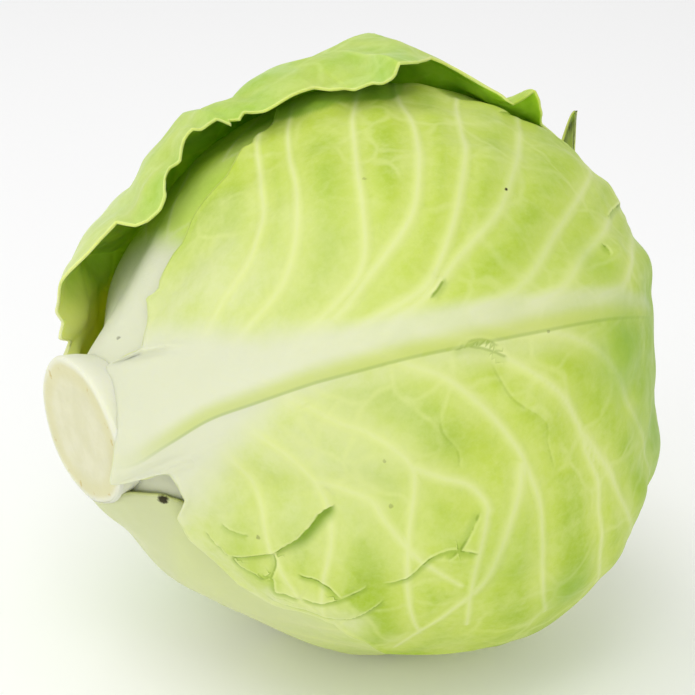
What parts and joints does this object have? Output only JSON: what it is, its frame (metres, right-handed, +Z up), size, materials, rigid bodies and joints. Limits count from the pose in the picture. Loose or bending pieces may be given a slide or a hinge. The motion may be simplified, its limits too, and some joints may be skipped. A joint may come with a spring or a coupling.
{
  "type": "cabbage head",
  "caption": "Dense green cabbage head lying on its side: cut stem with core, folded heart and veined wrapper leaves, one curling off at the top.",
  "frame": {"origin": "middle of the small flat spot on the bottom leaf that the head rests on", "axes": "+X along the head from the cut stem to the crown, +Z up, -Y the side that the large front leaf's midrib faces"},
  "size_m": [0.1733, 0.1726, 0.1742],
  "materials": {
    "leaf_outer": "waxy fresh leaf, soft satin sheen, pale yellow-green with near-white midrib and side veins",
    "leaf_inner": "waxy fresh leaf, paler yellow-green with near-white ribs",
    "heart": "tightly folded pale yellow-green leaves, satin",
    "stem": "freshly cut moist stem, cream white, matt with a paler ring inside the skin"
  },
  "bodies": {
    "root": {"stem": "stem", "heart": "heart", "leaf_back_lower": "leaf_inner", "leaf_front_inner": "leaf_inner", "leaf_upper": "leaf_inner", "leaf_bottom": "leaf_outer", "leaf_front": "leaf_outer", "leaf_back": "leaf_outer"}
  },
  "joints": []
}
